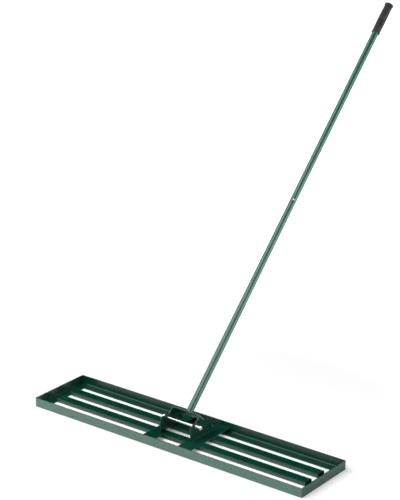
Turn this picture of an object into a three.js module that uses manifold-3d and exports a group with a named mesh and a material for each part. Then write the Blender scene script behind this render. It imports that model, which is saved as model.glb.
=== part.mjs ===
// Lawn levelling rake: a welded steel drag frame with a hinged two-piece handle.
// Millimetres. +X runs along the frame, +Y points away from the user's pulling side
// (the handle leans back towards +Y), +Z is up. The origin is on the ground, under the
// middle of the front bar, so the frame's own centre lies half a bar pitch behind it.

import * as THREE from "three";
import { mergeVertices, mergeGeometries } from "three/addons/utils/BufferGeometryUtils.js";
import Module from "manifold-3d";

const wasm = await Module();
wasm.setup();

// ---------------------------------------------------------------- driving dimensions

const FRAME_LENGTH = 1219;
const FRAME_DEPTH = 271;
const WALL_HEIGHT = 36;
const FLANGE_WIDTH = 38;
const ANGLE_THICKNESS = 3;
const ANGLE_ROOT_RADIUS = 4;
const FIT_GAP = 0.3;

const BAR_WIDTH = 39;
const BAR_HEIGHT = 15;
const BAR_WALL = 1.5;
const BAR_CORNER = 1.8;
const BAR_PITCH = 78;

const PLATE = 3;
const FOOT_INNER_X = 50;
const FOOT_OUTER_X = 110;
const EAR_OUTER_X = 70;
const EAR_FRONT_Y = -55;
const EAR_BACK_Y = 72;
const EAR_TOP_Z = 77;
const EAR_FRONT_RADIUS = 9;
const EAR_BACK_RADIUS = 36;
const BEND_RADIUS = 3;
const RELIEF = 5;

const PIVOT_Y = -24.5;
const PIVOT_Z = 69.5;
const REAR_BOLT_Y = 62;
const REAR_BOLT_Z = 46;

const YOKE_OUTER_X = 64.5;
const YOKE_THICKNESS = 4;
const YOKE_WIDTH = 46;
const YOKE_REACH = 47.7;
const YOKE_BEND = 9;
const YOKE_NOSE = 10;
const YOKE_HEEL_RADIUS = 16;

const HANDLE_TILT_DEG = 45;
const TUBE_SETBACK = 24;
const TUBE_RADIUS = 12.7;
const TUBE_WALL = 1.2;
const SEAM_AT = 952.4;
const UPPER_TUBE_END = 1866.4;
const SPIGOT_LENGTH = 90;
const SPIGOT_RADIUS = 11.2;

const BUTTON_ABOVE_SEAM = 9;
const BUTTON_RADIUS = 4;
const BUTTON_PROUD = 3;
const BUTTON_HOLE_RADIUS = 4.3;
const BUTTON_CLOCK_DEG = 34;

const GRIP_START = 1735.4;
const GRIP_END = 1872.4;
const GRIP_BORE = TUBE_RADIUS + FIT_GAP;

// Bolt sizes: shank and clearance hole radii, half the hexagon's width across flats.
const M8 = { shank: 4, hole: 4.3, halfFlats: 6.5, head: 6, nut: 6.5 };
const M6 = { shank: 3, hole: 3.3, halfFlats: 5, head: 4, nut: 4.5 };

const ROUND_SEGMENTS = 32;
const SMALL_SEGMENTS = 24;
const CORNER_SEGMENTS = 6;

// ---------------------------------------------------------------- materials

const finishes = {
  greenSteel: { color: 0x0d3a2b, roughness: 0.42, metalness: 0.1 },
  greenTube: { color: 0x33574b, roughness: 0.3, metalness: 0.1 },
  zinc: { color: 0xd6dad6, roughness: 0.28, metalness: 0.95 },
  nylon: { color: 0x24262a, roughness: 0.6, metalness: 0 },
  springSteel: { color: 0x8d9092, roughness: 0.35, metalness: 0.9 },
  blackRubber: { color: 0x2b2b2c, roughness: 0.85, metalness: 0 },
};

function namedMesh(name, geometry, finish) {
  const mesh = new THREE.Mesh(geometry, new THREE.MeshStandardMaterial(finishes[finish]));
  mesh.name = name;
  return mesh;
}

// ---------------------------------------------------------------- solids, joins and cuts

function toSolid(geometry) {
  const bare = geometry.clone();
  bare.deleteAttribute("normal");
  bare.deleteAttribute("uv");
  const merged = mergeVertices(bare, 1e-4);
  const vertProperties = new Float32Array(merged.attributes.position.array);
  const triVerts = new Uint32Array(merged.index.array);
  return new wasm.Manifold(new wasm.Mesh({ numProp: 3, vertProperties, triVerts }));
}

function toGeometry(solid) {
  const mesh = solid.getMesh();
  const geometry = new THREE.BufferGeometry();
  geometry.setAttribute("position", new THREE.BufferAttribute(mesh.vertProperties, 3));
  geometry.setIndex(new THREE.BufferAttribute(mesh.triVerts, 1));
  geometry.computeVertexNormals();
  return geometry;
}

function cut(geometry, ...tools) {
  return toGeometry(tools.reduce((solid, tool) => solid.subtract(toSolid(tool)), toSolid(geometry)));
}

function join(geometry, ...others) {
  return toGeometry(others.reduce((solid, other) => solid.add(toSolid(other)), toSolid(geometry)));
}

function common(geometry, other) {
  return toGeometry(toSolid(geometry).intersect(toSolid(other)));
}

function outline(points) {
  return new THREE.Shape(points.map(([x, y]) => new THREE.Vector2(x, y)));
}

function extrude(shape, depth, curveSegments = CORNER_SEGMENTS) {
  return new THREE.ExtrudeGeometry(shape, { depth, bevelEnabled: false, curveSegments });
}

// A shape drawn as (x, z) and carried along +Y from startY.
function alongY(shape, startY, length, curveSegments) {
  const geometry = extrude(shape, length, curveSegments);
  geometry.rotateX(Math.PI / 2);
  geometry.translate(0, startY + length, 0);
  return geometry;
}

// A shape drawn as (y, z) and carried along +X from startX.
function alongX(shape, startX, length, curveSegments) {
  const geometry = extrude(shape, length, curveSegments);
  geometry.applyMatrix4(new THREE.Matrix4().makeBasis(
    new THREE.Vector3(0, 1, 0),
    new THREE.Vector3(0, 0, 1),
    new THREE.Vector3(1, 0, 0),
  ));
  geometry.translate(startX, 0, 0);
  return geometry;
}

// A rod on the X axis of its own frame, moved to (y, z).
function rodAlongX(radius, startX, endX, y, z, segments = SMALL_SEGMENTS) {
  const geometry = new THREE.CylinderGeometry(radius, radius, endX - startX, segments);
  geometry.rotateZ(Math.PI / 2);
  geometry.translate((startX + endX) / 2, y, z);
  return geometry;
}

// A profile of (radius, height) points turned about the Z axis.
function turned(points, segments = ROUND_SEGMENTS) {
  const geometry = new THREE.LatheGeometry(points.map(([r, h]) => new THREE.Vector2(r, h)), segments);
  geometry.rotateX(Math.PI / 2);
  return geometry;
}

// The same, with the profile's height running along +X (side 1) or -X (side -1).
function turnedAlongX(points, side, segments = SMALL_SEGMENTS) {
  const geometry = turned(points, segments);
  geometry.rotateY(side * Math.PI / 2);
  return geometry;
}

function pipe(outer, inner, start, end) {
  return turned([[inner, start], [outer, start], [outer, end], [inner, end], [inner, start]]);
}

function arcPoints(centreR, centreH, radius, fromDeg, toDeg, steps) {
  return Array.from({ length: steps + 1 }, (_, i) => {
    const angle = THREE.MathUtils.degToRad(fromDeg + (toDeg - fromDeg) * i / steps);
    return [centreR + radius * Math.cos(angle), centreH + radius * Math.sin(angle)];
  });
}

// ---------------------------------------------------------------- frame angles

// Angle iron section: wall up the outside at u = 0, flange inward at the bottom.
function angleSection() {
  const t = ANGLE_THICKNESS;
  const shape = new THREE.Shape();
  shape.moveTo(0, 0);
  shape.lineTo(FLANGE_WIDTH, 0);
  shape.lineTo(FLANGE_WIDTH, t);
  shape.lineTo(t + ANGLE_ROOT_RADIUS, t);
  shape.absarc(t + ANGLE_ROOT_RADIUS, t + ANGLE_ROOT_RADIUS, ANGLE_ROOT_RADIUS, -Math.PI / 2, -Math.PI, true);
  shape.lineTo(t, WALL_HEIGHT);
  shape.lineTo(0, WALL_HEIGHT);
  shape.closePath();
  return shape;
}

// One side of the frame, built with its wall on y = 0 facing -Y, mitred at both ends.
function mitredAngle(length) {
  const half = length / 2;
  const rail = alongX(angleSection(), -half, length);
  const gap = FIT_GAP / 2;
  const reach = FLANGE_WIDTH + 1;
  const plan = outline([
    [-half + gap, 0],
    [half - gap, 0],
    [half - gap - reach, reach],
    [-half + gap + reach, reach],
  ]);
  return common(rail, extrude(plan, WALL_HEIGHT));
}

function frameAngle(name, length, x, y, turnDeg) {
  const mesh = namedMesh(name, mitredAngle(length), "greenSteel");
  mesh.position.set(x, y, 0);
  mesh.rotation.z = THREE.MathUtils.degToRad(turnDeg);
  return mesh;
}

function frameAngles() {
  return [
    frameAngle("front_angle", FRAME_LENGTH, 0, -FRAME_DEPTH / 2, 0),
    frameAngle("right_angle", FRAME_DEPTH, FRAME_LENGTH / 2, 0, 90),
    frameAngle("rear_angle", FRAME_LENGTH, 0, FRAME_DEPTH / 2, 180),
    frameAngle("left_angle", FRAME_DEPTH, -FRAME_LENGTH / 2, 0, 270),
  ];
}

// ---------------------------------------------------------------- inner bars

function roundedBox(shape, y0, z0, width, height, r) {
  shape.moveTo(y0 + r, z0);
  shape.lineTo(y0 + width - r, z0);
  shape.absarc(y0 + width - r, z0 + r, r, -Math.PI / 2, 0, false);
  shape.lineTo(y0 + width, z0 + height - r);
  shape.absarc(y0 + width - r, z0 + height - r, r, 0, Math.PI / 2, false);
  shape.lineTo(y0 + r, z0 + height);
  shape.absarc(y0 + r, z0 + height - r, r, Math.PI / 2, Math.PI, false);
  shape.lineTo(y0, z0 + r);
  shape.absarc(y0 + r, z0 + r, r, Math.PI, Math.PI * 1.5, false);
  return shape;
}

function innerBar(name, y) {
  const section = roundedBox(new THREE.Shape(), -BAR_WIDTH / 2, 0, BAR_WIDTH, BAR_HEIGHT, BAR_CORNER);
  const bore = roundedBox(
    new THREE.Path(),
    -BAR_WIDTH / 2 + BAR_WALL,
    BAR_WALL,
    BAR_WIDTH - 2 * BAR_WALL,
    BAR_HEIGHT - 2 * BAR_WALL,
    BAR_CORNER - BAR_WALL,
  );
  section.holes.push(bore);
  const length = FRAME_LENGTH - 2 * FLANGE_WIDTH - 2 * FIT_GAP;
  const mesh = namedMesh(name, alongX(section, -length / 2, length, 3), "greenSteel");
  mesh.position.y = y;
  return mesh;
}

// ---------------------------------------------------------------- folded bracket

// Foot and ear folded from one plate: (x, z) section with the bend at the ear's root.
function foldSection(footBottom) {
  const inner = EAR_OUTER_X - PLATE;
  const outerBend = BEND_RADIUS + PLATE;
  const shape = new THREE.Shape();
  shape.moveTo(FOOT_OUTER_X, footBottom);
  shape.lineTo(FOOT_OUTER_X, footBottom + PLATE);
  shape.lineTo(EAR_OUTER_X + BEND_RADIUS, footBottom + PLATE);
  shape.absarc(EAR_OUTER_X + BEND_RADIUS, footBottom + outerBend, BEND_RADIUS, -Math.PI / 2, -Math.PI, true);
  shape.lineTo(EAR_OUTER_X, EAR_TOP_Z);
  shape.lineTo(inner, EAR_TOP_Z);
  shape.lineTo(inner, footBottom + outerBend);
  shape.absarc(EAR_OUTER_X + BEND_RADIUS, footBottom + outerBend, outerBend, Math.PI, Math.PI * 1.5, false);
  shape.closePath();
  return shape;
}

// Side view (y, z) of the ear, rounded at its top corners.
function earSideView(footBottom) {
  const shape = new THREE.Shape();
  shape.moveTo(EAR_FRONT_Y, footBottom);
  shape.lineTo(EAR_BACK_Y, footBottom);
  shape.lineTo(EAR_BACK_Y, EAR_TOP_Z - EAR_BACK_RADIUS);
  shape.absarc(EAR_BACK_Y - EAR_BACK_RADIUS, EAR_TOP_Z - EAR_BACK_RADIUS, EAR_BACK_RADIUS, 0, Math.PI / 2, false);
  shape.lineTo(EAR_FRONT_Y + EAR_FRONT_RADIUS, EAR_TOP_Z);
  shape.absarc(
    EAR_FRONT_Y + EAR_FRONT_RADIUS,
    EAR_TOP_Z - EAR_FRONT_RADIUS,
    EAR_FRONT_RADIUS,
    Math.PI / 2,
    Math.PI,
    false,
  );
  shape.closePath();
  return shape;
}

// Plan of the flat ends of the plate: full width beyond the relief notches.
function footEndPlan(innerY, outerY) {
  return outline([
    [FOOT_INNER_X, innerY],
    [FOOT_OUTER_X, innerY],
    [FOOT_OUTER_X, outerY],
    [FOOT_INNER_X, outerY],
  ]);
}

function rightBracketGeometry() {
  const footBottom = BAR_HEIGHT + FIT_GAP;
  const endY = FRAME_DEPTH / 2 - ANGLE_THICKNESS - FIT_GAP;
  const folded = alongY(foldSection(footBottom), EAR_FRONT_Y, EAR_BACK_Y - EAR_FRONT_Y);
  const ear = common(folded, alongX(earSideView(footBottom), FOOT_INNER_X, FOOT_OUTER_X, 14));
  const backEnd = extrude(footEndPlan(EAR_BACK_Y + RELIEF, endY), PLATE);
  const frontEnd = extrude(footEndPlan(-endY, EAR_FRONT_Y - RELIEF), PLATE);
  const tieWidth = FOOT_OUTER_X - EAR_OUTER_X - BEND_RADIUS - PLATE;
  const tie = new THREE.BoxGeometry(tieWidth, 2 * endY, PLATE);
  tie.translate(FOOT_OUTER_X - tieWidth / 2, 0, PLATE / 2);
  for (const flat of [backEnd, frontEnd, tie]) flat.translate(0, 0, footBottom);
  return cut(
    join(ear, backEnd, frontEnd, tie),
    rodAlongX(M8.hole, FOOT_INNER_X, FOOT_OUTER_X, PIVOT_Y, PIVOT_Z),
    rodAlongX(M6.hole, FOOT_INNER_X, FOOT_OUTER_X, REAR_BOLT_Y, REAR_BOLT_Z),
  );
}

// The left-hand bracket is the right-hand one mirrored across the frame's middle.
function mirrored(geometry) {
  const solid = toSolid(geometry).mirror([1, 0, 0]);
  return toGeometry(solid);
}

// ---------------------------------------------------------------- fasteners

const WASHER_THICKNESS = 2;
const WASHER_RADIUS = 7.3;
const COLLAR_LENGTH = 16;
const COLLAR_RADIUS = 6.3;
const SPACER_RADIUS = 10;
const NUT_DOME = 2.3;
const THREAD_PAST_NUT = 3;

function hexPrism(startX, endX, halfFlats) {
  const corner = halfFlats / Math.cos(Math.PI / 6);
  const geometry = new THREE.CylinderGeometry(corner, corner, Math.abs(endX - startX), 6);
  geometry.rotateZ(Math.PI / 2);
  geometry.translate((startX + endX) / 2, 0, 0);
  return geometry;
}

// A hex bolt lying along X: head outside headX, shank to tipX. side is the head's side.
function hexBolt(name, size, headX, tipX, side, finish) {
  const head = hexPrism(headX, headX + side * size.head, size.halfFlats);
  const low = Math.min(headX + side, tipX);
  const high = Math.max(headX + side, tipX);
  return namedMesh(name, join(head, rodAlongX(size.shank, low, high, 0, 0)), finish);
}

// A ring round the pivot bolt's shank, from startX outwards.
function ring(name, startX, thickness, outerRadius, side, finish) {
  const inner = M8.shank + FIT_GAP;
  const profile = [[inner, 0], [outerRadius, 0], [outerRadius, thickness], [inner, thickness], [inner, 0]];
  const geometry = turnedAlongX(profile, side);
  geometry.translate(startX, 0, 0);
  return namedMesh(name, geometry, finish);
}

// A lock nut: hexagon with a domed collar, opened by a clear bore round the shank.
function lockNut(name, size, faceX, side, finish) {
  const hexEnd = faceX + side * size.nut;
  const edge = 1.5;
  const radius = size.halfFlats - 0.7;
  const overlap = 0.2;
  const dome = turnedAlongX(
    [
      [0, 0],
      [radius, 0],
      ...arcPoints(radius - edge, NUT_DOME + overlap - edge, edge, 0, 90, 4),
      [0, NUT_DOME + overlap],
    ],
    side,
  );
  dome.translate(hexEnd - side * overlap, 0, 0);
  const bore = rodAlongX(size.hole, faceX - 30, faceX + 30, 0, 0);
  return namedMesh(name, cut(join(hexPrism(faceX, hexEnd, size.halfFlats), dome), bore), finish);
}

// The bolt's head stands clear of the right ear on a short collar; its nut is on the left.
function pivotHardware() {
  const group = new THREE.Group();
  group.position.set(0, PIVOT_Y, PIVOT_Z);
  const earFace = EAR_OUTER_X + FIT_GAP;
  const washerFace = earFace + WASHER_THICKNESS + FIT_GAP;
  const collarFace = washerFace + COLLAR_LENGTH + FIT_GAP;
  const tip = -(washerFace + M8.nut + NUT_DOME + THREAD_PAST_NUT);
  const spacerSpace = EAR_OUTER_X - PLATE - YOKE_OUTER_X;
  const spacer = spacerSpace - 2 * FIT_GAP;
  group.add(hexBolt("pivot_bolt", M8, collarFace, tip, 1, "zinc"));
  group.add(lockNut("pivot_nut", M8, -washerFace, -1, "zinc"));
  group.add(ring("pivot_collar", washerFace, COLLAR_LENGTH, COLLAR_RADIUS, 1, "zinc"));
  for (const [word, side] of [["right", 1], ["left", -1]]) {
    group.add(ring(`pivot_washer_${word}`, side * earFace, WASHER_THICKNESS, WASHER_RADIUS, side, "zinc"));
    group.add(ring(
      `pivot_spacer_${word}`,
      side * (YOKE_OUTER_X + FIT_GAP),
      spacer,
      SPACER_RADIUS,
      side,
      "nylon",
    ));
  }
  return group;
}

function rearBolt(word, side) {
  const group = new THREE.Group();
  group.position.set(0, REAR_BOLT_Y, REAR_BOLT_Z);
  const outerFace = EAR_OUTER_X + FIT_GAP;
  const innerFace = EAR_OUTER_X - PLATE - FIT_GAP;
  const tip = innerFace - M6.nut - NUT_DOME - 1;
  group.add(hexBolt(`rear_bolt_${word}`, M6, side * outerFace, side * tip, side, "greenSteel"));
  group.add(lockNut(`rear_nut_${word}`, M6, side * innerFace, -side, "greenSteel"));
  return group;
}

// ---------------------------------------------------------------- handle
// The handle's own frame has its origin on the pivot, +Z along the tubes and -Y towards
// the user's upper side. The tubes stand behind the pivot by TUBE_SETBACK.

// U-shaped section of the yoke as (x, z), legs down past the pivot.
function yokeSection() {
  const outer = YOKE_OUTER_X;
  const inner = outer - YOKE_THICKNESS;
  const top = YOKE_REACH;
  const under = top - YOKE_THICKNESS;
  const foot = -YOKE_NOSE;
  const innerBend = YOKE_BEND - YOKE_THICKNESS;
  const shape = new THREE.Shape();
  shape.moveTo(-outer, foot);
  shape.lineTo(-inner, foot);
  shape.lineTo(-inner, under - innerBend);
  shape.absarc(-inner + innerBend, under - innerBend, innerBend, Math.PI, Math.PI / 2, true);
  shape.lineTo(inner - innerBend, under);
  shape.absarc(inner - innerBend, under - innerBend, innerBend, Math.PI / 2, 0, true);
  shape.lineTo(inner, foot);
  shape.lineTo(outer, foot);
  shape.lineTo(outer, top - YOKE_BEND);
  shape.absarc(outer - YOKE_BEND, top - YOKE_BEND, YOKE_BEND, 0, Math.PI / 2, false);
  shape.lineTo(-outer + YOKE_BEND, top);
  shape.absarc(-outer + YOKE_BEND, top - YOKE_BEND, YOKE_BEND, Math.PI / 2, Math.PI, false);
  shape.closePath();
  return shape;
}

// Side view (y, z) of the strip: straight, with a round nose at its front foot that
// carries the pivot, and a rounded heel behind.
function yokeSideView() {
  const front = TUBE_SETBACK - YOKE_WIDTH / 2;
  const back = TUBE_SETBACK + YOKE_WIDTH / 2;
  const heel = YOKE_HEEL_RADIUS;
  const noseMeetsFront = Math.acos(front / YOKE_NOSE);
  const shape = new THREE.Shape();
  shape.moveTo(back, YOKE_REACH + 1);
  shape.lineTo(front, YOKE_REACH + 1);
  shape.lineTo(front, YOKE_NOSE * Math.sin(noseMeetsFront));
  shape.absarc(0, 0, YOKE_NOSE, noseMeetsFront, Math.PI * 1.5, false);
  shape.lineTo(back - heel, -YOKE_NOSE);
  shape.absarc(back - heel, heel - YOKE_NOSE, heel, -Math.PI / 2, 0, false);
  shape.closePath();
  return shape;
}

function yoke() {
  const strip = alongY(yokeSection(), -YOKE_NOSE, YOKE_NOSE + TUBE_SETBACK + YOKE_WIDTH / 2);
  const sides = alongX(yokeSideView(), -YOKE_OUTER_X - 1, 2 * YOKE_OUTER_X + 2, 14);
  const bore = rodAlongX(M8.hole, -YOKE_OUTER_X - 1, YOKE_OUTER_X + 1, 0, 0);
  return namedMesh("yoke", cut(common(strip, sides), bore), "greenSteel");
}

// A round hole through one wall of a tube, on the button's side.
function buttonHole(centreHeight) {
  const geometry = new THREE.CylinderGeometry(
    BUTTON_HOLE_RADIUS,
    BUTTON_HOLE_RADIUS,
    TUBE_RADIUS + 4,
    SMALL_SEGMENTS,
  );
  geometry.translate(0, -(TUBE_RADIUS + 4) / 2 - 1, 0);
  geometry.rotateZ(THREE.MathUtils.degToRad(BUTTON_CLOCK_DEG));
  geometry.translate(0, 0, centreHeight);
  return geometry;
}

// Lower tube: full size up to the seam, then swaged down to slide inside the upper tube.
function lowerTube() {
  const start = YOKE_REACH + FIT_GAP;
  const shoulder = SEAM_AT - FIT_GAP;
  const neck = SEAM_AT + 2;
  const tip = SEAM_AT + SPIGOT_LENGTH;
  const inner = TUBE_RADIUS - TUBE_WALL;
  const spigotInner = SPIGOT_RADIUS - TUBE_WALL;
  const body = turned([
    [inner, start],
    [TUBE_RADIUS, start],
    [TUBE_RADIUS, shoulder - 1],
    [TUBE_RADIUS - 0.6, shoulder],
    [SPIGOT_RADIUS, shoulder + 0.2],
    [SPIGOT_RADIUS, tip - 1],
    [SPIGOT_RADIUS - 0.6, tip],
    [spigotInner, tip],
    [spigotInner, neck],
    [inner, neck - 14],
    [inner, start],
  ]);
  return namedMesh("lower_tube", cut(body, buttonHole(SEAM_AT + BUTTON_ABOVE_SEAM)), "greenTube");
}

function upperTube() {
  const body = pipe(TUBE_RADIUS, TUBE_RADIUS - TUBE_WALL, SEAM_AT, UPPER_TUBE_END);
  return namedMesh("upper_tube", cut(body, buttonHole(SEAM_AT + BUTTON_ABOVE_SEAM)), "greenTube");
}

// ---------------------------------------------------------------- snap button
// Drawn with the button's own axis along +Z, then swung out to the tube's wall.

const BUTTON_FLANGE_TOP = 8;
const BUTTON_FLANGE_THICKNESS = 1;
const BUTTON_FLANGE_RADIUS = 5;
const SPRING_THICKNESS = 0.8;
const SPRING_WIDTH = 8;
const SPRING_LENGTH = 38;
const BUTTON_TRAVEL = 4.3;

function onTubeWall(geometry) {
  geometry.applyMatrix4(new THREE.Matrix4().makeBasis(
    new THREE.Vector3(1, 0, 0),
    new THREE.Vector3(0, 0, 1),
    new THREE.Vector3(0, -1, 0),
  ));
  geometry.rotateZ(THREE.MathUtils.degToRad(BUTTON_CLOCK_DEG));
  geometry.translate(0, 0, SEAM_AT + BUTTON_ABOVE_SEAM);
  return geometry;
}

function snapButton() {
  const top = TUBE_RADIUS + BUTTON_PROUD;
  const dome = 1.8;
  const profile = [
    [0, BUTTON_FLANGE_TOP - BUTTON_FLANGE_THICKNESS],
    [BUTTON_FLANGE_RADIUS, BUTTON_FLANGE_TOP - BUTTON_FLANGE_THICKNESS],
    [BUTTON_FLANGE_RADIUS, BUTTON_FLANGE_TOP],
    [BUTTON_RADIUS - 0.1, BUTTON_FLANGE_TOP],
    ...arcPoints(BUTTON_RADIUS - 0.1 - dome, top - dome, dome, 0, 90, 5),
    [0, top],
  ];
  return namedMesh("snap_button", onTubeWall(turned(profile, SMALL_SEGMENTS)), "zinc");
}

// Leaf spring folded to a V: one leg under the button, the other back across the bore.
function buttonSpring() {
  const near = BUTTON_FLANGE_TOP - BUTTON_FLANGE_THICKNESS - FIT_GAP;
  const far = -(SPIGOT_RADIUS - TUBE_WALL) + BUTTON_TRAVEL + 1.2;
  const t = SPRING_THICKNESS;
  const shape = outline([
    [-6, near],
    [4, near],
    [SPRING_LENGTH, far + 6],
    [SPRING_LENGTH + 1.5, far + 5],
    [SPRING_LENGTH, far + 4],
    [-6, far],
    [-6, far + t],
    [SPRING_LENGTH - 1, far + 4 + t],
    [SPRING_LENGTH - 1, far + 6 - t],
    [4, near - t],
    [-6, near - t],
  ]);
  const geometry = extrude(shape, SPRING_WIDTH);
  geometry.translate(0, 0, -SPRING_WIDTH / 2);
  geometry.applyMatrix4(new THREE.Matrix4().makeBasis(
    new THREE.Vector3(0, -1, 0),
    new THREE.Vector3(0, 0, 1),
    new THREE.Vector3(-1, 0, 0),
  ));
  return namedMesh("button_spring", onTubeWall(geometry), "springSteel");
}

// ---------------------------------------------------------------- grip

const GRIP_LIP_RADIUS = 17;
const GRIP_WAIST_RADIUS = 15.4;
const GRIP_BELLY_RADIUS = 16.3;
const GRIP_FLANGE_RADIUS = 17.6;
const GRIP_LIP_LENGTH = 5;
const GRIP_FLANGE_LENGTH = 9;
const GRIP_BELLY_STEPS = 8;

// Rubber sleeve, closed over the tube's end: lip, barrelled body and a round end flange.
function grip() {
  const bodyStart = GRIP_START + GRIP_LIP_LENGTH + 3;
  const bodyEnd = GRIP_END - GRIP_FLANGE_LENGTH - 1.5;
  const belly = Array.from({ length: GRIP_BELLY_STEPS + 1 }, (_, i) => {
    const along = i / GRIP_BELLY_STEPS;
    const swell = Math.sin(Math.PI * along);
    const radius = GRIP_WAIST_RADIUS + (GRIP_BELLY_RADIUS - GRIP_WAIST_RADIUS) * swell;
    return [radius, bodyStart + (bodyEnd - bodyStart) * along];
  });
  const flangeEdge = 3;
  const flangeRound = arcPoints(
    GRIP_FLANGE_RADIUS - flangeEdge,
    GRIP_END - flangeEdge,
    flangeEdge,
    0,
    90,
    5,
  );
  const boreEnd = UPPER_TUBE_END + FIT_GAP;
  const profile = [
    [GRIP_BORE, GRIP_START],
    ...arcPoints(GRIP_LIP_RADIUS - 0.8, GRIP_START + 0.8, 0.8, -90, 0, 2),
    [GRIP_LIP_RADIUS, GRIP_START + GRIP_LIP_LENGTH],
    ...belly,
    [GRIP_FLANGE_RADIUS - 0.8, GRIP_END - GRIP_FLANGE_LENGTH],
    [GRIP_FLANGE_RADIUS, GRIP_END - GRIP_FLANGE_LENGTH + 1],
    ...flangeRound,
    [0, GRIP_END],
    [0, boreEnd],
    [GRIP_BORE, boreEnd],
    [GRIP_BORE, GRIP_START],
  ];
  return namedMesh("grip", turned(profile), "blackRubber");
}

// ---------------------------------------------------------------- assembly

function head() {
  const group = new THREE.Group();
  const bracket = rightBracketGeometry();
  group.add(...frameAngles());
  group.add(innerBar("front_bar", -BAR_PITCH / 2));
  group.add(innerBar("rear_bar", BAR_PITCH / 2));
  group.add(namedMesh("right_bracket", bracket, "greenSteel"));
  group.add(namedMesh("left_bracket", mirrored(bracket), "greenSteel"));
  group.add(pivotHardware());
  group.add(rearBolt("right", 1));
  group.add(rearBolt("left", -1));
  return group;
}

function handle() {
  const group = new THREE.Group();
  group.position.set(0, PIVOT_Y, PIVOT_Z);
  group.rotation.x = -THREE.MathUtils.degToRad(90 - HANDLE_TILT_DEG);
  const stem = new THREE.Group();
  stem.position.y = TUBE_SETBACK;
  stem.add(lowerTube(), upperTube(), snapButton(), buttonSpring(), grip());
  group.add(yoke(), stem);
  return group;
}

const rake = new THREE.Group();
rake.add(head(), handle());
rake.position.y = BAR_PITCH / 2;

export default rake;
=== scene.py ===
"""Looks for the lawn levelling rake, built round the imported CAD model.

Everything is in metres, in the CAD frame: +X along the drag frame, +Y towards the side
that the handle leans to, +Z up, with the ground at z = 0.
"""

import math

import bmesh
import bpy
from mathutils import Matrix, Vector

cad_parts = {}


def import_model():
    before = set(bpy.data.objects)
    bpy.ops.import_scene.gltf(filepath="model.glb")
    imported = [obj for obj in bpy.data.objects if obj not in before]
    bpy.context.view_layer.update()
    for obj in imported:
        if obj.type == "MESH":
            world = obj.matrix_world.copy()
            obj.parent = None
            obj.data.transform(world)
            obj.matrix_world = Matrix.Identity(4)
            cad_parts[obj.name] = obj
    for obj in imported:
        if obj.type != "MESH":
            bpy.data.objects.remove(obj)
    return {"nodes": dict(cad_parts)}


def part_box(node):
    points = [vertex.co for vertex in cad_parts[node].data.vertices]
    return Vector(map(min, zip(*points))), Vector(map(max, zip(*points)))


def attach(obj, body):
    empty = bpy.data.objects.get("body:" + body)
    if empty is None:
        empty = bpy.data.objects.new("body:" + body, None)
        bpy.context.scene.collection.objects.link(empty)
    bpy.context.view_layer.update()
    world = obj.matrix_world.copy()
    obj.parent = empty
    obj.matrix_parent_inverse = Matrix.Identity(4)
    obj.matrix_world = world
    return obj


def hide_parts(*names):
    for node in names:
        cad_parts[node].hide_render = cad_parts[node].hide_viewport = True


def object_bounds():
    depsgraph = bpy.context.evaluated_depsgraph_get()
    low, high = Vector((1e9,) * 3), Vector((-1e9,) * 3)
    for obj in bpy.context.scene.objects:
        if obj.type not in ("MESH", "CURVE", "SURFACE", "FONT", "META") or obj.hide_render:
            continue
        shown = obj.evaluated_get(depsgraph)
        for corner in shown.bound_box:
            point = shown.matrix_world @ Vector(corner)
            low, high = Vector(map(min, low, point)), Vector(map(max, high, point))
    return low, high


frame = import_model()
cad_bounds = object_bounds()
nodes = frame["nodes"]

MM = 0.001


# ---------------------------------------------------------------- places from the frame


def box_centre(node):
    low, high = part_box(node)
    return (low + high) / 2


def span(node, origin, axis):
    """How far a node reaches along an axis through origin: lowest and highest value."""
    along = [(vertex.co - origin).dot(axis) for vertex in nodes[node].data.vertices]
    return min(along), max(along)


SIDE_AXIS = Vector((1, 0, 0))
DEPTH_AXIS = Vector((0, 1, 0))
UP_AXIS = Vector((0, 0, 1))
HANDLE_AXIS = (box_centre("upper_tube") - box_centre("lower_tube")).normalized()
HANDLE_UP = SIDE_AXIS.cross(HANDLE_AXIS)
STEM = box_centre("lower_tube")
TUBE_RADIUS = span("upper_tube", STEM, SIDE_AXIS)[1]


# ---------------------------------------------------------------- materials

FLAT_DOT = 0.985
SHARP_DOT = 0.80


def colour_socket(sockets, name):
    """A Mix node's colour socket: the node has sockets of several types by each name."""
    return next(socket for socket in sockets if socket.name == name and socket.type == "RGBA")


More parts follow.
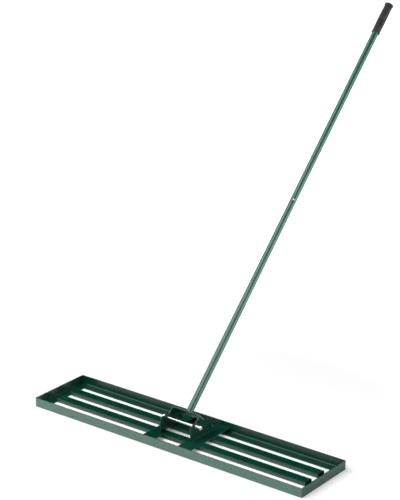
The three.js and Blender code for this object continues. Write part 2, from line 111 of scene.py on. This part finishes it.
class Paint:
    """A Principled material, with short ways to drive it from textures."""

    def __init__(self, name, **values):
        self.material = bpy.data.materials.new(name)
        self.material.use_nodes = True
        self.tree = self.material.node_tree
        self.shader = self.tree.nodes["Principled BSDF"]
        self.place = self.node("ShaderNodeTexCoord").outputs["Object"]
        for socket, value in values.items():
            self.shader.inputs[socket.replace("_", " ")].default_value = value

    def node(self, kind, **settings):
        made = self.tree.nodes.new(kind)
        for key, value in settings.items():
            setattr(made, key, value)
        return made

    def link(self, source, target):
        self.tree.links.new(source, target)

    def feed(self, target, value):
        """Links a socket to the value if that is a socket too, or else sets it."""
        if isinstance(value, bpy.types.NodeSocket):
            self.link(value, target)
        else:
            target.default_value = value

    def noise(self, size, detail=3.0, stretch=(1, 1, 1)):
        """Noise whose blobs are about size metres across."""
        mapping = self.node("ShaderNodeMapping")
        mapping.inputs["Scale"].default_value = stretch
        self.link(self.place, mapping.inputs["Vector"])
        noise = self.node("ShaderNodeTexNoise")
        noise.inputs["Scale"].default_value = 1 / size
        noise.inputs["Detail"].default_value = detail
        self.link(mapping.outputs["Vector"], noise.inputs["Vector"])
        return noise.outputs["Fac"]

    def spread(self, source, low, high, new_low=0.0, new_high=1.0):
        """Maps a value from low..high to new_low..new_high."""
        ranged = self.node("ShaderNodeMapRange")
        self.link(source, ranged.inputs["Value"])
        names = ("From Min", "From Max", "To Min", "To Max")
        for name, value in zip(names, (low, high, new_low, new_high)):
            ranged.inputs[name].default_value = value
        return ranged.outputs["Result"]

    def mix(self, share, first, second):
        """Colour between first and second. Each is a (red, green, blue) or a socket."""
        mixed = self.node("ShaderNodeMix", data_type="RGBA")
        self.link(share, mixed.inputs["Factor"])
        for name, colour in (("A", first), ("B", second)):
            value = (*colour, 1) if isinstance(colour, tuple) else colour
            self.feed(colour_socket(mixed.inputs, name), value)
        return colour_socket(mixed.outputs, "Result")

    def math(self, operation, first, second):
        made = self.node("ShaderNodeMath", operation=operation)
        self.feed(made.inputs[0], first)
        self.feed(made.inputs[1], second)
        return made.outputs["Value"]

    def edges(self, width):
        """1 on edges narrower than width, 0 on flats."""
        bevel = self.node("ShaderNodeBevel", samples=6)
        bevel.inputs["Radius"].default_value = width
        normal = self.node("ShaderNodeNewGeometry").outputs["Normal"]
        dot = self.node("ShaderNodeVectorMath", operation="DOT_PRODUCT")
        self.link(bevel.outputs["Normal"], dot.inputs[0])
        self.link(normal, dot.inputs[1])
        return self.spread(dot.outputs["Value"], FLAT_DOT, SHARP_DOT)

    def colour(self, source):
        self.link(source, self.shader.inputs["Base Color"])

    def roughness(self, source):
        self.link(source, self.shader.inputs["Roughness"])

    def bump(self, height, depth, strength, under=None):
        """Relief from a height, laid over an earlier relief if one is given."""
        made = self.node("ShaderNodeBump")
        made.inputs["Strength"].default_value = strength
        made.inputs["Distance"].default_value = depth
        self.link(height, made.inputs["Height"])
        if under is not None:
            self.link(under, made.inputs["Normal"])
        self.link(made.outputs["Normal"], self.shader.inputs["Normal"])
        return made.outputs["Normal"]


def powder_coat(name, deep, light, edge_wear_and_highlight, gloss, shine, pale_edge_width=0.8 * MM):
    """Baked powder paint: fine orange peel, cloudy colour, paler edges that are partly
    thin-paint wear and partly painted highlight.
    """
    smoothest, roughest = gloss
    paint = Paint(name, Metallic=0.0, IOR=1.5, Specular_IOR_Level=shine)
    clouds = paint.spread(paint.noise(60 * MM, detail=4.0), 0.35, 0.65)
    body = paint.mix(clouds, deep, light)
    speckle = paint.spread(paint.noise(1.2 * MM, detail=2.0), 0.60, 0.75, 0.0, 0.35)
    body = paint.mix(speckle, body, light)
    patches = paint.spread(paint.noise(9 * MM, detail=5.0), 0.40, 0.62, 0.25, 1.0)
    # Paler edges: partly wear where the paint is thin, partly a painted highlight along the
    # edges.
    pale_edges = paint.math("MULTIPLY", paint.edges(pale_edge_width), patches)
    paint.colour(paint.mix(pale_edges, body, edge_wear_and_highlight))
    sheen = paint.noise(20 * MM, detail=5.0)
    paint.roughness(paint.spread(sheen, 0.3, 0.7, smoothest, roughest))
    peel = paint.bump(paint.noise(1.6 * MM, detail=2.0), depth=0.03 * MM, strength=0.6)
    waves = paint.noise(30 * MM, detail=2.0)
    paint.bump(waves, depth=0.15 * MM, strength=0.3, under=peel)
    return paint.material


def zinc_plate(name):
    """Bright zinc: pale metal with faint cloudy passivation and turning marks."""
    paint = Paint(name, Metallic=1.0)
    clouds = paint.spread(paint.noise(4 * MM, detail=4.0), 0.35, 0.65)
    paint.colour(paint.mix(clouds, (0.80, 0.81, 0.79), (0.70, 0.73, 0.74)))
    paint.roughness(paint.spread(paint.noise(1.5 * MM), 0.3, 0.7, 0.20, 0.34))
    marks = paint.noise(0.8 * MM, stretch=(6, 1, 1))
    paint.bump(marks, depth=0.01 * MM, strength=0.5)
    return paint.material


def spring_steel(name):
    """Bare spring strip with a fine grain."""
    paint = Paint(name, Metallic=1.0)
    grain = paint.noise(1 * MM, stretch=(8, 1, 1))
    paint.colour(paint.mix(grain, (0.36, 0.37, 0.38), (0.50, 0.51, 0.52)))
    paint.roughness(paint.spread(grain, 0.3, 0.7, 0.28, 0.42))
    paint.bump(grain, depth=0.01 * MM, strength=0.5)
    return paint.material


def nylon(name, dark, light):
    """Plain moulded nylon, slightly mottled."""
    paint = Paint(name, Metallic=0.0, IOR=1.53)
    paint.colour(paint.mix(paint.noise(4 * MM), dark, light))
    paint.roughness(paint.spread(paint.noise(2 * MM), 0.3, 0.7, 0.45, 0.6))
    paint.bump(paint.noise(0.6 * MM, detail=2.0), depth=0.01 * MM, strength=0.5)
    return paint.material


def grip_rubber(name):
    """Moulded rubber: matt, dusty in patches, paler where hands rub the high spots."""
    paint = Paint(name, Metallic=0.0, IOR=1.5, Specular_IOR_Level=0.3)
    dust = paint.spread(paint.noise(20 * MM, detail=5.0), 0.40, 0.68)
    body = paint.mix(dust, (0.013, 0.013, 0.014), (0.030, 0.030, 0.031))
    pale_edges = paint.edges(0.8 * MM)
    paint.colour(paint.mix(pale_edges, body, (0.050, 0.050, 0.051)))
    sheen = paint.noise(6 * MM, detail=4.0)
    paint.roughness(paint.spread(sheen, 0.3, 0.7, 0.50, 0.68))
    paint.bump(paint.noise(0.7 * MM, detail=2.0), depth=0.04 * MM, strength=0.7)
    return paint.material


GREEN_FRAME = powder_coat(
    "green_frame",
    deep=(0.0008, 0.036, 0.021),
    light=(0.0015, 0.048, 0.029),
    edge_wear_and_highlight=(0.010, 0.090, 0.060),
    gloss=(0.26, 0.36),
    shine=0.42,
)
GREEN_BRACKET = powder_coat(
    "green_bracket",
    deep=(0.0008, 0.034, 0.020),
    light=(0.0015, 0.044, 0.026),
    # Much paler edges than the frame: mostly a painted highlight on the bracket's edges and
    # bends, with a little wear.
    edge_wear_and_highlight=(0.080, 0.210, 0.170),
    gloss=(0.28, 0.40),
    shine=0.22,
    pale_edge_width=1.6 * MM,
)
# Same paint as the frame, with its base green painted lighter to stand in for the light the tube
# reflects.
GREEN_TUBE = powder_coat(
    "green_tube",
    deep=(0.006, 0.072, 0.050),
    light=(0.009, 0.086, 0.060),
    edge_wear_and_highlight=(0.030, 0.110, 0.080),
    gloss=(0.18, 0.26),
    shine=0.65,
)
ZINC = zinc_plate("zinc")
SPRING = spring_steel("spring")
SPACER_NYLON = nylon("spacer_nylon", (0.012, 0.013, 0.015), (0.022, 0.023, 0.026))
INSERT_NYLON = nylon("insert_nylon", (0.50, 0.53, 0.55), (0.60, 0.62, 0.63))
RUBBER = grip_rubber("rubber")


# ---------------------------------------------------------------- CAD nodes that stay

WELD_DISTANCE = 0.01 * MM
EDGE_SEGMENTS = 2
TUBE_SHARP_DEG = 20


def dress(node, material, edge, sharp_deg=32):
    """Gives a CAD node its material and rounds edges sharper than sharp_deg."""
    piece = nodes[node]
    piece.data.materials.clear()
    piece.data.materials.append(material)
    if "custom_normal" in piece.data.attributes:
        piece.data.attributes.remove(piece.data.attributes["custom_normal"])
    piece.data.shade_smooth()
    weld = piece.modifiers.new("weld", "WELD")
    weld.merge_threshold = WELD_DISTANCE
    rounding = piece.modifiers.new("edges", "BEVEL")
    rounding.width = edge
    rounding.segments = EDGE_SEGMENTS
    rounding.limit_method = "ANGLE"
    rounding.angle_limit = math.radians(sharp_deg)
    rounding.harden_normals = True


for angle in ("front_angle", "rear_angle", "left_angle", "right_angle"):
    dress(angle, GREEN_FRAME, edge=1.0 * MM)
for bar in ("front_bar", "rear_bar"):
    dress(bar, GREEN_FRAME, edge=0.25 * MM)
for bracket in ("left_bracket", "right_bracket"):
    dress(bracket, GREEN_BRACKET, edge=0.45 * MM)
dress("yoke", GREEN_BRACKET, edge=0.8 * MM)
for tube in ("lower_tube", "upper_tube"):
    dress(tube, GREEN_TUBE, edge=0.25 * MM, sharp_deg=TUBE_SHARP_DEG)
for ring in ("pivot_washer_left", "pivot_washer_right"):
    dress(ring, ZINC, edge=0.3 * MM)
for ring in ("pivot_spacer_left", "pivot_spacer_right"):
    dress(ring, SPACER_NYLON, edge=0.2 * MM)
dress("pivot_collar", ZINC, edge=0.5 * MM)
dress("snap_button", ZINC, edge=0.2 * MM)
dress("button_spring", SPRING, edge=0.1 * MM)


# ---------------------------------------------------------------- mesh tools


def piece_from(name, mesh_maker, material, body, replaces=(), smooth_deg=35):
    """Turns a bmesh into a piece that rides on a body and stands for CAD nodes."""
    mesh = bpy.data.meshes.new(name)
    bmesh.ops.recalc_face_normals(mesh_maker, faces=mesh_maker.faces)
    mesh_maker.to_mesh(mesh)
    mesh_maker.free()
    mesh.shade_smooth()
    mesh.set_sharp_from_angle(angle=math.radians(smooth_deg))
    mesh.materials.append(material)
    piece = bpy.data.objects.new(name, mesh)
    bpy.context.scene.collection.objects.link(piece)
    if replaces:
        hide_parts(*replaces)
    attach(piece, body)


def ring_verts(maker, rings):
    """Vertices for each ring of points."""
    return [[maker.verts.new(point) for point in ring] for ring in rings]


def skin(maker, first, second):
    """Faces between two rings of vertices."""
    for i in range(len(first)):
        j = (i + 1) % len(first)
        maker.faces.new((first[i], first[j], second[j], second[i]))


def loft(maker, rings, closed=False):
    """Skins equal rings of points. Open lofts get a cap at each end."""
    made = ring_verts(maker, rings)
    for first, second in zip(made, made[1:]):
        skin(maker, first, second)
    if closed:
        skin(maker, made[-1], made[0])
    else:
        maker.faces.new(made[0])
        maker.faces.new(made[-1])


def loft_sleeve(maker, outside, inside):
    """Skins a sleeve that is closed at its far end: outside out, inside back."""
    outer = ring_verts(maker, outside)
    inner = ring_verts(maker, inside)
    for rows in (outer, inner):
        for first, second in zip(rows, rows[1:]):
            skin(maker, first, second)
    maker.faces.new(outer[-1])
    maker.faces.new(inner[0])
    skin(maker, inner[-1], outer[0])


def ring_about(centre, axis, start, radius, count):
    """Points round an axis. radius is a number or a function of the angle."""
    side = axis.cross(start)
    points = []
    for i in range(count):
        angle = math.tau * i / count
        reach = radius(angle) if callable(radius) else radius
        points.append(centre + reach * (math.cos(angle) * start + math.sin(angle) * side))
    return points


def hexagon(half_flats):
    """Radius of a hexagon as a function of the angle, flats first."""

    def radius(angle):
        turned = (angle + math.pi / 6) % (math.pi / 3) - math.pi / 6
        return half_flats / math.cos(turned)

    return radius


# ---------------------------------------------------------------- bolts and nuts

M8 = {"shank": 4 * MM, "bore": 4.3 * MM, "collar": 5.8 * MM, "head": 6 * MM, "nut": 6.5 * MM}
M6 = {"shank": 3 * MM, "bore": 3.3 * MM, "collar": 4.3 * MM, "head": 4 * MM, "nut": 4.5 * MM}

HEX_STEPS = 72
CROWN_SHARE = 0.97
CHAMFER_SLOPE = math.tan(math.radians(30))

SHANK_STEPS = 24
PLAIN_SHARE = 0.96
SHANK_INTO_HEAD = 0.5 * MM
THREAD_PITCH = 1.25 * MM
THREAD_DEPTH = 0.55 * MM
THREAD_STEPS = 6
TIP_LENGTH = 1.0 * MM
TIP_CUT = 1.2

DOME_STEPS = 6
NUT_INSET = 0.05 * MM
RECESS_FLOOR = 0.40
INSERT_START = 0.42
INSERT_END = 0.75
INSERT_SHARE = 0.99


def hex_rings(face, outward, length, half_flats, both_ends):
    """Rings of a hexagon with its corners turned down at the outer, or both, ends."""
    outline = hexagon(half_flats)
    crown = half_flats * CROWN_SHARE

    def end_rings(along, direction):
        """The crown's circle, and the outline with its corners set back."""
        centre = face + along * outward
        flat = ring_about(centre, outward, DEPTH_AXIS, crown, HEX_STEPS)
        corner = ring_about(centre, outward, DEPTH_AXIS, outline, HEX_STEPS)
        for i in range(HEX_STEPS):
            past_crown = outline(math.tau * i / HEX_STEPS) - crown
            corner[i] -= direction * past_crown * CHAMFER_SLOPE * outward
        return flat, corner

    top_flat, top_corner = end_rings(length, 1)
    if both_ends:
        low_flat, low_corner = end_rings(0, -1)
        return [low_flat, low_corner, top_corner, top_flat]
    low = ring_about(face, outward, DEPTH_AXIS, outline, HEX_STEPS)
    return [low, top_corner, top_flat]


def shank_rings(start, end, radius, thread_from):
    """A plain shank that becomes a rolled thread at thread_from along its axis."""
    axis = (end - start).normalized()
    length = (end - start).length
    thread_end = length - TIP_LENGTH
    plain_end = min(thread_from, thread_end)
    steps = max(1, int((thread_end - plain_end) / THREAD_PITCH * THREAD_STEPS))

    def ring(centre, reach):
        return ring_about(centre, axis, DEPTH_AXIS, reach, SHANK_STEPS)

    rings = [ring(start, radius * PLAIN_SHARE)]
    rings.append(ring(start + plain_end * axis, radius * PLAIN_SHARE))
    for step in range(1, steps + 1):
        along = plain_end + (thread_end - plain_end) * step / steps

        def thread(angle, along=along):
            phase = (along / THREAD_PITCH + angle / math.tau) % 1.0
            return radius - THREAD_DEPTH * abs(2 * phase - 1)

        rings.append(ring(start + along * axis, thread))
    rings.append(ring(end, radius - THREAD_DEPTH * TIP_CUT))
    return rings


def hex_bolt(node, size, side, thread_length, material):
    """A hex bolt along X in place of its CAD node. side is where the head is, +1 or -1."""
    low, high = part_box(node)
    centre = (low + high) / 2
    outward = side * SIDE_AXIS
    half_flats = (high.y - low.y) / 2
    head_end, tip = (high.x, low.x) if side > 0 else (low.x, high.x)
    face = Vector((head_end - side * size["head"], centre.y, centre.z))
    shank_start = face + SHANK_INTO_HEAD * outward
    shank_end = Vector((tip, centre.y, centre.z))
    thread_from = abs(tip - face.x) - thread_length
    maker = bmesh.new()
    loft(maker, hex_rings(face, outward, size["head"], half_flats, both_ends=False))
    loft(maker, shank_rings(shank_start, shank_end, size["shank"], thread_from))
    piece_from(f"{node}_detail", maker, material, "head", (node,))


def lock_nut(node, size, side, material):
    """A lock nut along X: chamfered hexagon, domed collar, and its pale nylon ring."""
    low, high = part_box(node)
    centre = (low + high) / 2
    outward = side * SIDE_AXIS
    half_flats = (high.y - low.y) / 2
    face = Vector((low.x if side > 0 else high.x, centre.y, centre.z))
    bore = size["bore"]
    collar = size["collar"]
    lip = (bore + collar) / 2
    hex_length = size["nut"]
    dome = high.x - low.x - NUT_INSET - hex_length

    def ring(along, radius):
        return ring_about(face + along * outward, outward, DEPTH_AXIS, radius, HEX_STEPS)

    rings = hex_rings(face, outward, hex_length, half_flats, both_ends=True)
    rings.append(ring(hex_length, collar))
    for step in range(1, DOME_STEPS + 1):
        turn = math.pi / 2 * step / DOME_STEPS
        reach = lip + (collar - lip) * math.cos(turn)
        rings.append(ring(hex_length + dome * math.sin(turn), reach))
    recess = hex_length + dome * RECESS_FLOOR
    rings.append(ring(recess, lip))
    rings.append(ring(recess, bore))
    rings.append(ring(0, bore))
    maker = bmesh.new()
    loft(maker, rings, closed=True)
    piece_from(f"{node}_detail", maker, material, "head", (node,))

    insert_start = hex_length + dome * INSERT_START
    insert_end = hex_length + dome * INSERT_END
    insert_radius = lip * INSERT_SHARE
    rings = [
        ring(insert_start, bore),
        ring(insert_start, insert_radius),
        ring(insert_end, insert_radius),
        ring(insert_end, bore),
    ]
    maker = bmesh.new()
    loft(maker, rings, closed=True)
    piece_from(f"{node}_insert", maker, INSERT_NYLON, "head")


hex_bolt("pivot_bolt", M8, 1, 22 * MM, ZINC)
lock_nut("pivot_nut", M8, -1, ZINC)
for word, side in (("right", 1), ("left", -1)):
    hex_bolt(f"rear_bolt_{word}", M6, side, 9 * MM, GREEN_BRACKET)
    lock_nut(f"rear_nut_{word}", M6, -side, GREEN_BRACKET)


# ---------------------------------------------------------------- welds

SHEET = 3 * MM
BEAD_PITCH = 2.2 * MM
BEAD_RIPPLE = 0.16
BEAD_SECTIONS = 10
BEAD_TIP = 0.02
BEAD_LIFT = 0.4 * MM
BEAD_MARGIN = 3 * MM
CORNER_BEAD_RADIUS = 2.2 * MM
CORNER_BEAD_INSET = 0.6 * MM
CORNER_BEAD_GAP = 2 * MM
STITCH_RADIUS = 1.8 * MM
STITCH_LENGTH = 22 * MM

FILLET_SIZE = 3.2 * MM
FILLET_STEPS = 144
FILLET_SECTIONS = 9
FILLET_RIPPLE = 0.14
FILLET_RIPPLES = 30
FILLET_HALF_WIDTH = 0.45
FILLET_HALF_HEIGHT = 0.6
FILLET_OUT = 0.55
FILLET_UP = 0.6


def bead(maker, start, end, radius, up):
    """A run of weld: a round bead with overlapping ripples and rounded ends."""
    axis = (end - start).normalized()
    length = (end - start).length
    side = axis.cross(up).normalized()
    steps = max(8, int(length / (BEAD_PITCH / 4)))
    rings = []
    for step in range(steps + 1):
        along = length * step / steps
        to_end = min(along, length - along)
        taper = math.sqrt(max(BEAD_TIP, min(1.0, to_end / radius)))
        wave = 1 - BEAD_RIPPLE * abs(math.sin(math.pi * along / BEAD_PITCH))
        reach = radius * taper * wave
        rings.append(ring_about(start + along * axis, axis, side, reach, BEAD_SECTIONS))
    loft(maker, rings)


def yoke_weld():
    """The fillet weld round the tube where it stands on the yoke's web."""
    foot = STEM + span("lower_tube", STEM, HANDLE_AXIS)[0] * HANDLE_AXIS
    rings = []
    for i in range(FILLET_STEPS):
        angle = math.tau * i / FILLET_STEPS
        out = math.cos(angle) * SIDE_AXIS + math.sin(angle) * HANDLE_UP
        size = FILLET_SIZE * (1 - FILLET_RIPPLE * abs(math.sin(angle * FILLET_RIPPLES / 2)))
        ring = []
        for j in range(FILLET_SECTIONS):
            turn = math.tau * j / FILLET_SECTIONS
            off_tube = size * FILLET_HALF_WIDTH * (math.cos(turn) + FILLET_OUT)
            off_web = size * FILLET_HALF_HEIGHT * (math.sin(turn) + FILLET_UP)
            ring.append(foot + (TUBE_RADIUS + off_tube) * out + off_web * HANDLE_AXIS)
        rings.append(ring)
    maker = bmesh.new()
    loft(maker, rings, closed=True)
    piece_from("yoke_weld", maker, GREEN_FRAME, "handle")


def frame_welds():
    """Beads up the frame's four inner corners and across the bars' ends."""
    left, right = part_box("left_angle"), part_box("right_angle")
    front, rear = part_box("front_angle"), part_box("rear_angle")
    bead_height = front[1].z - SHEET - CORNER_BEAD_GAP
    inset = SHEET + CORNER_BEAD_INSET
    maker = bmesh.new()
    for x, inward_x in ((left[0].x, 1), (right[1].x, -1)):
        for y, inward_y in ((front[0].y, 1), (rear[1].y, -1)):
            low = Vector((x + inward_x * inset, y + inward_y * inset, SHEET))
            high = low + bead_height * UP_AXIS
            bead(maker, low, high, CORNER_BEAD_RADIUS, SIDE_AXIS)
    for bar in ("front_bar", "rear_bar"):
        low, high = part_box(bar)
        for x in (low.x, high.x):
            start = Vector((x, low.y + BEAD_MARGIN, SHEET + BEAD_LIFT))
            end = Vector((x, high.y - BEAD_MARGIN, SHEET + BEAD_LIFT))
            bead(maker, start, end, CORNER_BEAD_RADIUS, UP_AXIS)
    piece_from("frame_welds", maker, GREEN_FRAME, "head")


def bracket_welds():
    """Short stitches where the outer edge of each foot plate crosses a bar."""
    maker = bmesh.new()
    for outer_x in (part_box("left_bracket")[0].x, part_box("right_bracket")[1].x):
        for bar in ("front_bar", "rear_bar"):
            low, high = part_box(bar)
            middle = (low.y + high.y) / 2
            height = high.z + BEAD_LIFT
            start = Vector((outer_x, middle - STITCH_LENGTH / 2, height))
            end = Vector((outer_x, middle + STITCH_LENGTH / 2, height))
            bead(maker, start, end, STITCH_RADIUS, UP_AXIS)
    piece_from("bracket_welds", maker, GREEN_FRAME, "head")


yoke_weld()
frame_welds()
bracket_welds()


# ---------------------------------------------------------------- grip

GRIP_AROUND = 96
GRIP_RING_STEP = 0.9 * MM
GRIP_SMOOTH_DEG = 50
GRIP_CLEARANCE = 0.3 * MM
GRIP_INSET = 0.25 * MM
GRIP_NECK = 2.5 * MM

LIP_RADIUS = 16.8 * MM
LIP_LENGTH = 5 * MM
LIP_EDGE = 1.2 * MM
WAIST_RADIUS = 15.4 * MM
BELLY_RADIUS = 16.3 * MM
FLANGE_LENGTH = 9 * MM
FLANGE_EDGE = 2.8 * MM
FLANGE_EDGE_STEPS = 8

DISH_DEPTH = 0.7 * MM
DISH_RIM = 0.55
DISH_FLOOR = 0.50
DISH_CENTRE = 0.10

GROOVE_DEPTH = 0.45 * MM
GROOVE_LEAD = 168 * MM
GROOVE_FADE = 6 * MM
GROOVE_SHARE = 0.34
GROOVES_AROUND = 12


def rounded(radius, low, high, edge, steps=5):
    """Profile points, radius and place, of a collar from low to high with round edges."""
    inner = radius - edge
    turns = [math.pi / 2 * i / steps for i in range(steps + 1)]
    points = []
    for turn in turns:
        points.append((inner + edge * math.sin(turn), low + edge - edge * math.cos(turn)))
    for turn in turns:
        points.append((inner + edge * math.cos(turn), high - edge + edge * math.sin(turn)))
    return points


def grip_body(start, end):
    """Profile of the barrelled body, cut by spiral grooves that cross."""

    def groove(along, angle):
        """How deep the grooves are at a place on the body."""
        ease = min(1.0, (along - start) / GROOVE_FADE, (end - along) / GROOVE_FADE)
        depth = 0.0
        for hand in (1, -1):
            phase = GROOVES_AROUND * (angle / math.tau + hand * along / GROOVE_LEAD)
            off = abs((phase + 0.5) % 1.0 - 0.5) * 2
            depth = max(depth, max(0.0, 1 - off / GROOVE_SHARE))
        return GROOVE_DEPTH * max(0.0, ease) * depth * depth * (3 - 2 * depth)

    profile = []
    steps = int((end - start) / GRIP_RING_STEP)
    for step in range(steps + 1):
        along = start + (end - start) * step / steps
        swell = math.sin(math.pi * step / steps)
        full = WAIST_RADIUS + (BELLY_RADIUS - WAIST_RADIUS) * swell

        def cut(angle, full=full, along=along):
            return full - groove(along, angle)

        profile.append((cut, along))
    return profile


def grip_rings(profile):
    """Rings round the handle, one for each profile point."""
    rings = []
    for radius, along in profile:
        centre = STEM + along * HANDLE_AXIS
        rings.append(ring_about(centre, HANDLE_AXIS, SIDE_AXIS, radius, GRIP_AROUND))
    return rings


def grip():
    """Rubber sleeve with a lip, a grooved body, and an end flange with a shallow dish."""
    start, end = span("grip", STEM, HANDLE_AXIS)
    flange_radius = span("grip", STEM, SIDE_AXIS)[1] - GRIP_INSET
    bore = TUBE_RADIUS + GRIP_CLEARANCE
    bore_end = span("upper_tube", STEM, HANDLE_AXIS)[1] + GRIP_CLEARANCE
    body_start = start + LIP_LENGTH + GRIP_NECK
    body_end = end - FLANGE_LENGTH - GRIP_NECK
    outside = rounded(LIP_RADIUS, start, start + LIP_LENGTH, LIP_EDGE)
    outside += grip_body(body_start, body_end)
    outside += rounded(flange_radius, end - FLANGE_LENGTH, end, FLANGE_EDGE, FLANGE_EDGE_STEPS)
    outside.append((flange_radius * DISH_RIM, end))
    outside.append((flange_radius * DISH_FLOOR, end - DISH_DEPTH))
    outside.append((flange_radius * DISH_CENTRE, end - DISH_DEPTH))
    inside = [(flange_radius * DISH_CENTRE, bore_end), (bore, bore_end), (bore, start)]
    maker = bmesh.new()
    loft_sleeve(maker, grip_rings(outside), grip_rings(inside))
    piece_from(
        "grip_sleeve", maker, RUBBER, "handle", ("grip",), GRIP_SMOOTH_DEG
    )


grip()


# ---------------------------------------------------------------- studio

WHITE = (1, 1, 1, 1)
MIDDLE = Vector((0.0, 0.3, 0.4))
FLOOR_SIZE = 60.0
FLOOR_DROP = 0.2 * MM
FLOOR_PATCH = 0.5
NEAR_GLOW = 0.17
FAR_GLOW = 1.05
GLOW_START = 0.9
GLOW_FULL = 2.0
ROOM_LIGHT = 0.005
TABLE_REACH = 1.4


def direction(azimuth_deg, elevation_deg):
    """Unit vector away from the rake, azimuth 0 in front (-Y) and 90 to the right."""
    azimuth = math.radians(azimuth_deg)
    elevation = math.radians(elevation_deg)
    level = math.cos(elevation)
    return Vector(
        (math.sin(azimuth) * level, -math.cos(azimuth) * level, math.sin(elevation))
    )


def floor():
    """A pale floor, lit from within like a light table, fully white away from the rake."""
    half = FLOOR_SIZE / 2
    corners = [(-half, -half), (half, -half), (half, half), (-half, half)]
    maker = bmesh.new()
    maker.faces.new([maker.verts.new((x, y, 0)) for x, y in corners])
    mesh = bpy.data.meshes.new("floor")
    maker.to_mesh(mesh)
    maker.free()
    piece = bpy.data.objects.new("floor", mesh)
    piece.location.z = -FLOOR_DROP
    bpy.context.scene.collection.objects.link(piece)
    paint = Paint("floor", Roughness=0.9, Specular_IOR_Level=0.0)
    patches = paint.noise(FLOOR_PATCH, detail=2.0)
    paint.colour(paint.mix(patches, (0.82, 0.82, 0.82), (0.84, 0.84, 0.84)))
    reach = paint.node("ShaderNodeVectorMath", operation="LENGTH")
    paint.link(paint.place, reach.inputs[0])
    glow = paint.spread(reach.outputs["Value"], GLOW_START, GLOW_FULL, NEAR_GLOW, FAR_GLOW)
    paint.shader.inputs["Emission Color"].default_value = WHITE
    paint.link(glow, paint.shader.inputs["Emission Strength"])
    mesh.materials.append(paint.material)


def softbox(name, width, height, radiance):
    """A rectangular light of an even brightness, not seen by the camera."""
    data = bpy.data.lights.new(name, "AREA")
    data.shape = "RECTANGLE"
    data.size = width
    data.size_y = height
    data.energy = radiance * math.pi * width * height
    light = bpy.data.objects.new(name, data)
    light.visible_camera = False
    bpy.context.scene.collection.objects.link(light)
    return light


def standing_light(name, azimuth_deg, elevation_deg, distance, width, height, radiance):
    """A softbox that faces the rake from one side."""
    away = direction(azimuth_deg, elevation_deg)
    light = softbox(name, width, height, radiance)
    light.location = MIDDLE + distance * away
    light.rotation_euler = (-away).to_track_quat("-Z", "Y").to_euler()


def light_table(name, left, right, front, back, radiance):
    """Light from the floor's surface upwards, over a rectangle of it."""
    light = softbox(name, right - left, back - front, radiance)
    light.location = ((left + right) / 2, (front + back) / 2, -FLOOR_DROP / 2)
    light.rotation_euler = (math.pi, 0, 0)


def light_tables():
    """Light tables in front of the rake and under its open ends."""
    low, high = cad_bounds
    rear_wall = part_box("rear_angle")[1].y
    left_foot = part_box("left_bracket")[0].x
    right_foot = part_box("right_bracket")[1].x
    in_front = low.y - TABLE_REACH
    light_table("table_in_front", low.x - TABLE_REACH, high.x, in_front, low.y, 2.0)
    light_table("table_left", low.x, left_foot, low.y, rear_wall, 0.6)
    light_table("table_right", right_foot, high.x, low.y, rear_wall, 0.6)


def world():
    """Dim room for light and reflections, white where the camera looks past the floor."""
    room = bpy.data.worlds.new("studio")
    bpy.context.scene.world = room
    room.use_nodes = True
    tree = room.node_tree
    background = tree.nodes["Background"]
    background.inputs["Color"].default_value = WHITE
    background.inputs["Strength"].default_value = ROOM_LIGHT
    seen = tree.nodes.new("ShaderNodeBackground")
    seen.inputs["Color"].default_value = WHITE
    seen.inputs["Strength"].default_value = 1.0
    path = tree.nodes.new("ShaderNodeLightPath")
    mix = tree.nodes.new("ShaderNodeMixShader")
    tree.links.new(path.outputs["Is Camera Ray"], mix.inputs["Fac"])
    tree.links.new(background.outputs["Background"], mix.inputs[1])
    tree.links.new(seen.outputs["Background"], mix.inputs[2])
    tree.links.new(mix.outputs["Shader"], tree.nodes["World Output"].inputs["Surface"])


floor()
world()
standing_light(
    "key", azimuth_deg=-33, elevation_deg=50, distance=4.2, width=8.2, height=4.4, radiance=3.3
)
standing_light(
    "right", azimuth_deg=109, elevation_deg=15, distance=4.0, width=3.5, height=3.0, radiance=3.6
)
light_tables()


# ---------------------------------------------------------------- camera

CAMERA_AZIMUTH_DEG = 37.53
CAMERA_ELEVATION_DEG = 19.68
CAMERA_DISTANCE = 6.486
CAMERA_TARGET = Vector((-0.1166, 0.2823, 0.6286))
CAMERA_LENS = 127.32
SENSOR_WIDTH = 36
CLIP_END = 200


def camera():
    """Long lens from the front right, a little above the rake."""
    data = bpy.data.cameras.new("camera")
    data.sensor_width = SENSOR_WIDTH
    data.lens = CAMERA_LENS
    data.clip_end = CLIP_END
    view = bpy.data.objects.new("camera", data)
    back = direction(CAMERA_AZIMUTH_DEG, CAMERA_ELEVATION_DEG)
    view.location = CAMERA_TARGET + CAMERA_DISTANCE * back
    pitch = math.radians(90 - CAMERA_ELEVATION_DEG)
    view.rotation_euler = (pitch, 0, math.radians(CAMERA_AZIMUTH_DEG))
    bpy.context.scene.collection.objects.link(view)
    bpy.context.scene.camera = view


camera()
bpy.context.scene.view_settings.view_transform = "Standard"
